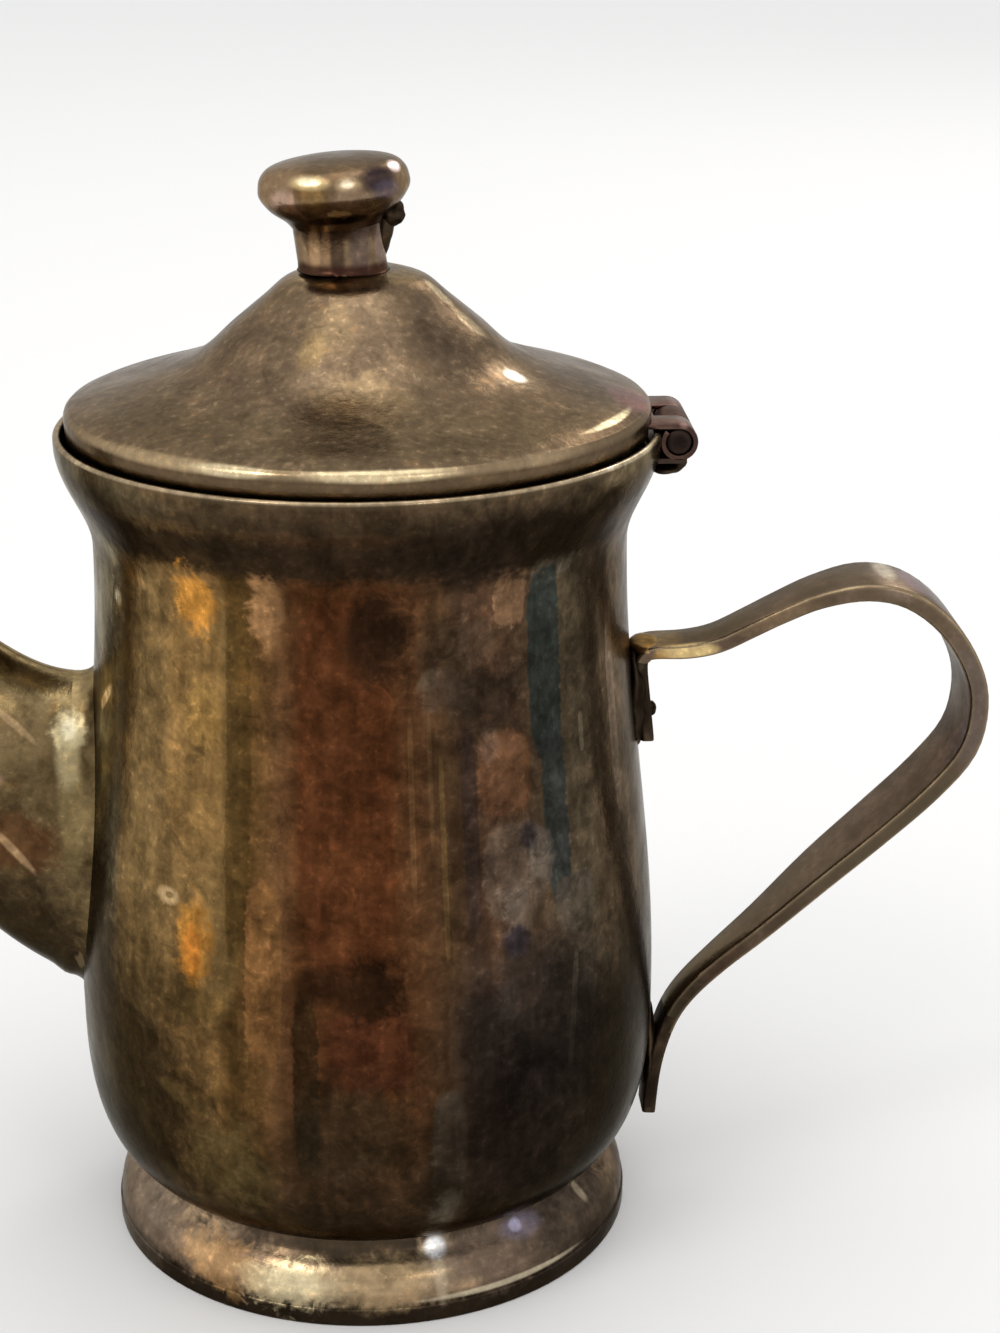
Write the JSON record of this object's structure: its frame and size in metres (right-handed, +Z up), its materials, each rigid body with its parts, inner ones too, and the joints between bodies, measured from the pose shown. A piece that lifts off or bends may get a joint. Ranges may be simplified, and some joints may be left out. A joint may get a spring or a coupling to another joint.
{
  "type": "creamer",
  "caption": "Small lidded metal creamer: round-bellied body on a foot ring, curved spout, strap handle and a hinged domed lid with a knob.",
  "frame": {"origin": "on the table, under the axis of the round body", "axes": "+Z up along the body's axis, +X towards the handle and the hinge, -X towards the spout, the mirror plane is y = 0"},
  "size_m": [0.1448, 0.068, 0.1273],
  "materials": {
    "body_silver": "satin",
    "foot_silver": "satin",
    "handle_silver": "satin",
    "hinge_silver": "satin",
    "lid_silver": "satin",
    "knob_silver": "satin",
    "fastener_brass": "satin",
    "pin_steel": "matte"
  },
  "bodies": {
    "pot": {"body_shell": "body_silver", "foot_ring": "foot_silver", "spout_left_half": "body_silver", "spout_right_half": "body_silver", "handle": "handle_silver", "hinge_bracket": "hinge_silver", "hinge_pin": "pin_steel"},
    "lid": {"lid_shell": "lid_silver", "lid_collar": "lid_silver", "hinge_strap": "hinge_silver", "knob": "knob_silver", "knob_stud": "fastener_brass", "knob_washer": "fastener_brass", "knob_nut": "fastener_brass"}
  },
  "joints": [
    {"name": "lid_hinge", "type": "hinge", "parent": "pot", "child": "lid", "pos_m": [0.0353, 0, 0.0962], "axis": [0, 1, 0], "range_deg": [0, 105]}
  ]
}
